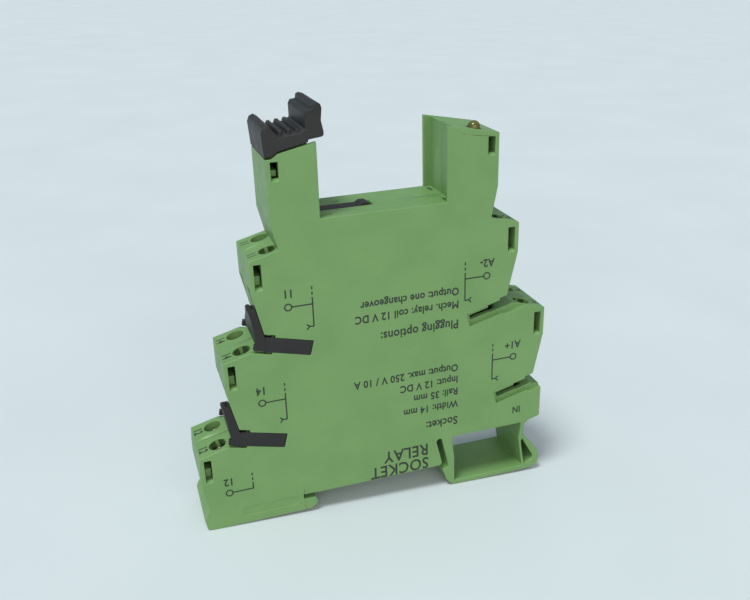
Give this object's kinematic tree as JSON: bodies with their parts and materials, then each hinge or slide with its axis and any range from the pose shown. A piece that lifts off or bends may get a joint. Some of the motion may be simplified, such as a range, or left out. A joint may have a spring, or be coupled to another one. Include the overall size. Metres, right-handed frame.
{
  "type": "plug-in relay socket",
  "caption": "Slim green rail-mounting socket for a plug-in relay, with stepped screw terminals on both sides, a black retaining lever, bridge plugs and an amber status light.",
  "frame": {"origin": "middle of the 80.8 mm width and of the 14 mm thickness, at the underside of the latch foot", "axes": "+X towards the coil terminals and the rail latch, +Y from the front side face to the back side face, +Z from the rail towards the relay bay"},
  "size_m": [0.0808, 0.014, 0.0924],
  "materials": {
    "green_plastic": "moulded, satin",
    "black_plastic": "moulded, satin",
    "plated_steel": "nickel plated",
    "contact_brass": "tin-flashed brass",
    "amber_lens": "clear tinted epoxy",
    "board_laminate": "solder mask",
    "component_epoxy": "moulded epoxy",
    "resistor_body": "lacquered"
  },
  "bodies": {
    "housing": {"front_shell": "green_plastic", "back_shell": "green_plastic", "busbar_12": "contact_brass", "busbar_14": "contact_brass", "busbar_11": "contact_brass", "busbar_a1": "contact_brass", "busbar_a2": "contact_brass", "relay_contact_11": "contact_brass", "relay_contact_14": "contact_brass", "relay_contact_12": "contact_brass", "relay_contact_a2": "contact_brass", "relay_contact_a1": "contact_brass", "led_lens": "amber_lens", "circuit_board": "board_laminate", "bridge_rectifier": "component_epoxy", "freewheel_diode": "component_epoxy", "led_resistor": "resistor_body"},
    "latch_foot": {"rail_foot": "green_plastic"},
    "lever": {"retaining_lever": "black_plastic"},
    "plug_lower": {"bridge_plug_lower": "black_plastic"},
    "plug_upper": {"bridge_plug_upper": "black_plastic"},
    "screw_12_front": {"terminal_screw_12_front": "plated_steel"},
    "cage_12_front": {"clamp_cage_12_front": "plated_steel"},
    "screw_12_back": {"terminal_screw_12_back": "plated_steel"},
    "cage_12_back": {"clamp_cage_12_back": "plated_steel"},
    "screw_14_front": {"terminal_screw_14_front": "plated_steel"},
    "cage_14_front": {"clamp_cage_14_front": "plated_steel"},
    "screw_14_back": {"terminal_screw_14_back": "plated_steel"},
    "cage_14_back": {"clamp_cage_14_back": "plated_steel"},
    "screw_11_front": {"terminal_screw_11_front": "plated_steel"},
    "cage_11_front": {"clamp_cage_11_front": "plated_steel"},
    "screw_11_back": {"terminal_screw_11_back": "plated_steel"},
    "cage_11_back": {"clamp_cage_11_back": "plated_steel"},
    "screw_a1_front": {"terminal_screw_a1_front": "plated_steel"},
    "cage_a1_front": {"clamp_cage_a1_front": "plated_steel"},
    "screw_a1_back": {"terminal_screw_a1_back": "plated_steel"},
    "cage_a1_back": {"clamp_cage_a1_back": "plated_steel"},
    "screw_a2_front": {"terminal_screw_a2_front": "plated_steel"},
    "cage_a2_front": {"clamp_cage_a2_front": "plated_steel"},
    "screw_a2_back": {"terminal_screw_a2_back": "plated_steel"},
    "cage_a2_back": {"clamp_cage_a2_back": "plated_steel"}
  },
  "joints": [
    {"name": "lever_swing", "type": "hinge", "parent": "housing", "child": "lever", "pos_m": [-0.0154, 0, 0.0686], "axis": [0, -1, 0], "range_deg": [0, 12]},
    {"name": "latch_pull", "type": "slide", "parent": "housing", "child": "latch_foot", "axis": [1, 0, 0], "range_m": [0, 0.0015], "stiffness_N_per_m": 3000, "springref_m": -0.0005},
    {"name": "plug_lower_pull", "type": "slide", "parent": "housing", "child": "plug_lower", "axis": [-0.9681, 0, 0.2504], "range_m": [0, 0.012]},
    {"name": "plug_upper_pull", "type": "slide", "parent": "housing", "child": "plug_upper", "axis": [-0.9681, 0, 0.2504], "range_m": [0, 0.012]},
    {"name": "screw_12_front_turn", "type": "hinge", "parent": "housing", "child": "screw_12_front", "pos_m": [-0.0356, -0.0039, 0.02182], "axis": [0.247, 0, -0.969], "range_deg": [0, 1080]},
    {"name": "cage_12_front_lift", "type": "slide", "parent": "housing", "child": "cage_12_front", "axis": [-0.247, 0, 0.969], "range_m": [0, 0.0015]},
    {"name": "screw_12_back_turn", "type": "hinge", "parent": "housing", "child": "screw_12_back", "pos_m": [-0.0356, 0.0039, 0.02182], "axis": [0.247, 0, -0.969], "range_deg": [0, 1080]},
    {"name": "cage_12_back_lift", "type": "slide", "parent": "housing", "child": "cage_12_back", "axis": [-0.247, 0, 0.969], "range_m": [0, 0.0015]},
    {"name": "screw_14_front_turn", "type": "hinge", "parent": "housing", "child": "screw_14_front", "pos_m": [-0.02855, -0.0039, 0.04287], "axis": [0.247, 0, -0.969], "range_deg": [0, 1080]},
    {"name": "cage_14_front_lift", "type": "slide", "parent": "housing", "child": "cage_14_front", "axis": [-0.247, 0, 0.969], "range_m": [0, 0.0015]},
    {"name": "screw_14_back_turn", "type": "hinge", "parent": "housing", "child": "screw_14_back", "pos_m": [-0.02855, 0.0039, 0.04287], "axis": [0.247, 0, -0.969], "range_deg": [0, 1080]},
    {"name": "cage_14_back_lift", "type": "slide", "parent": "housing", "child": "cage_14_back", "axis": [-0.247, 0, 0.969], "range_m": [0, 0.0015]},
    {"name": "screw_11_front_turn", "type": "hinge", "parent": "housing", "child": "screw_11_front", "pos_m": [-0.0215, -0.0039, 0.06392], "axis": [0.247, 0, -0.969], "range_deg": [0, 1080]},
    {"name": "cage_11_front_lift", "type": "slide", "parent": "housing", "child": "cage_11_front", "axis": [-0.247, 0, 0.969], "range_m": [0, 0.0015]},
    {"name": "screw_11_back_turn", "type": "hinge", "parent": "housing", "child": "screw_11_back", "pos_m": [-0.0215, 0.0039, 0.06392], "axis": [0.247, 0, -0.969], "range_deg": [0, 1080]},
    {"name": "cage_11_back_lift", "type": "slide", "parent": "housing", "child": "cage_11_back", "axis": [-0.247, 0, 0.969], "range_m": [0, 0.0015]},
    {"name": "screw_a1_front_turn", "type": "hinge", "parent": "housing", "child": "screw_a1_front", "pos_m": [0.0354, -0.0039, 0.04372], "axis": [-0.247, 0, -0.969], "range_deg": [0, 1080]},
    {"name": "cage_a1_front_lift", "type": "slide", "parent": "housing", "child": "cage_a1_front", "axis": [0.247, 0, 0.969], "range_m": [0, 0.0015]},
    {"name": "screw_a1_back_turn", "type": "hinge", "parent": "housing", "child": "screw_a1_back", "pos_m": [0.0354, 0.0039, 0.04372], "axis": [-0.247, 0, -0.969], "range_deg": [0, 1080]},
    {"name": "cage_a1_back_lift", "type": "slide", "parent": "housing", "child": "cage_a1_back", "axis": [0.247, 0, 0.969], "range_m": [0, 0.0015]},
    {"name": "screw_a2_front_turn", "type": "hinge", "parent": "housing", "child": "screw_a2_front", "pos_m": [0.0282, -0.0039, 0.06472], "axis": [-0.247, 0, -0.969], "range_deg": [0, 1080]},
    {"name": "cage_a2_front_lift", "type": "slide", "parent": "housing", "child": "cage_a2_front", "axis": [0.247, 0, 0.969], "range_m": [0, 0.0015]},
    {"name": "screw_a2_back_turn", "type": "hinge", "parent": "housing", "child": "screw_a2_back", "pos_m": [0.0282, 0.0039, 0.06472], "axis": [-0.247, 0, -0.969], "range_deg": [0, 1080]},
    {"name": "cage_a2_back_lift", "type": "slide", "parent": "housing", "child": "cage_a2_back", "axis": [0.247, 0, 0.969], "range_m": [0, 0.0015]}
  ],
  "couplings": [
    {"joint": "screw_12_front_turn", "follows": "cage_12_front_lift", "rad_per_m": 12566},
    {"joint": "screw_12_back_turn", "follows": "cage_12_back_lift", "rad_per_m": 12566},
    {"joint": "screw_14_front_turn", "follows": "cage_14_front_lift", "rad_per_m": 12566},
    {"joint": "screw_14_back_turn", "follows": "cage_14_back_lift", "rad_per_m": 12566},
    {"joint": "screw_11_front_turn", "follows": "cage_11_front_lift", "rad_per_m": 12566},
    {"joint": "screw_11_back_turn", "follows": "cage_11_back_lift", "rad_per_m": 12566},
    {"joint": "screw_a1_front_turn", "follows": "cage_a1_front_lift", "rad_per_m": 12566},
    {"joint": "screw_a1_back_turn", "follows": "cage_a1_back_lift", "rad_per_m": 12566},
    {"joint": "screw_a2_front_turn", "follows": "cage_a2_front_lift", "rad_per_m": 12566},
    {"joint": "screw_a2_back_turn", "follows": "cage_a2_back_lift", "rad_per_m": 12566}
  ]
}
